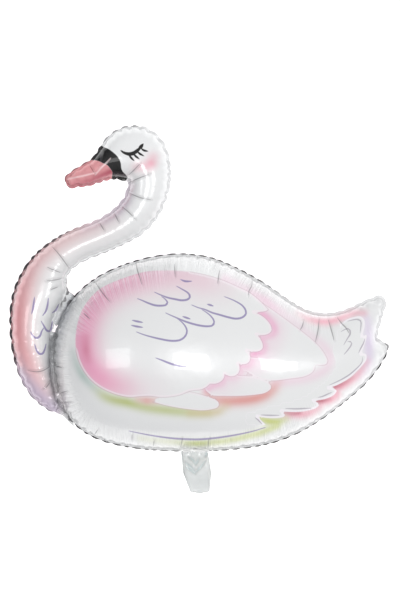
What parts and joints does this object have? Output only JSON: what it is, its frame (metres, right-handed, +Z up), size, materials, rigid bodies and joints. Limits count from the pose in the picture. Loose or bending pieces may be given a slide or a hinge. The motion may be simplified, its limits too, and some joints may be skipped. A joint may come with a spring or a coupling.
{
  "type": "swan foil balloon",
  "caption": "Inflated swan-shaped foil balloon lying on its side, with a curved neck, a printed wing, a crimped seam and a flat filling tail.",
  "frame": {"origin": "centre of the balloon's box at the floor that it lies on", "axes": "+X from the breast to the tail, +Y from the belly to the head, +Z up, out of the upper sheet"},
  "size_m": [0.7964, 0.7728, 0.2658],
  "materials": {
    "pearl_foil": "pearl-white metallised film with a printed picture"
  },
  "bodies": {
    "root": {"foil_envelope": "pearl_foil"}
  },
  "joints": []
}
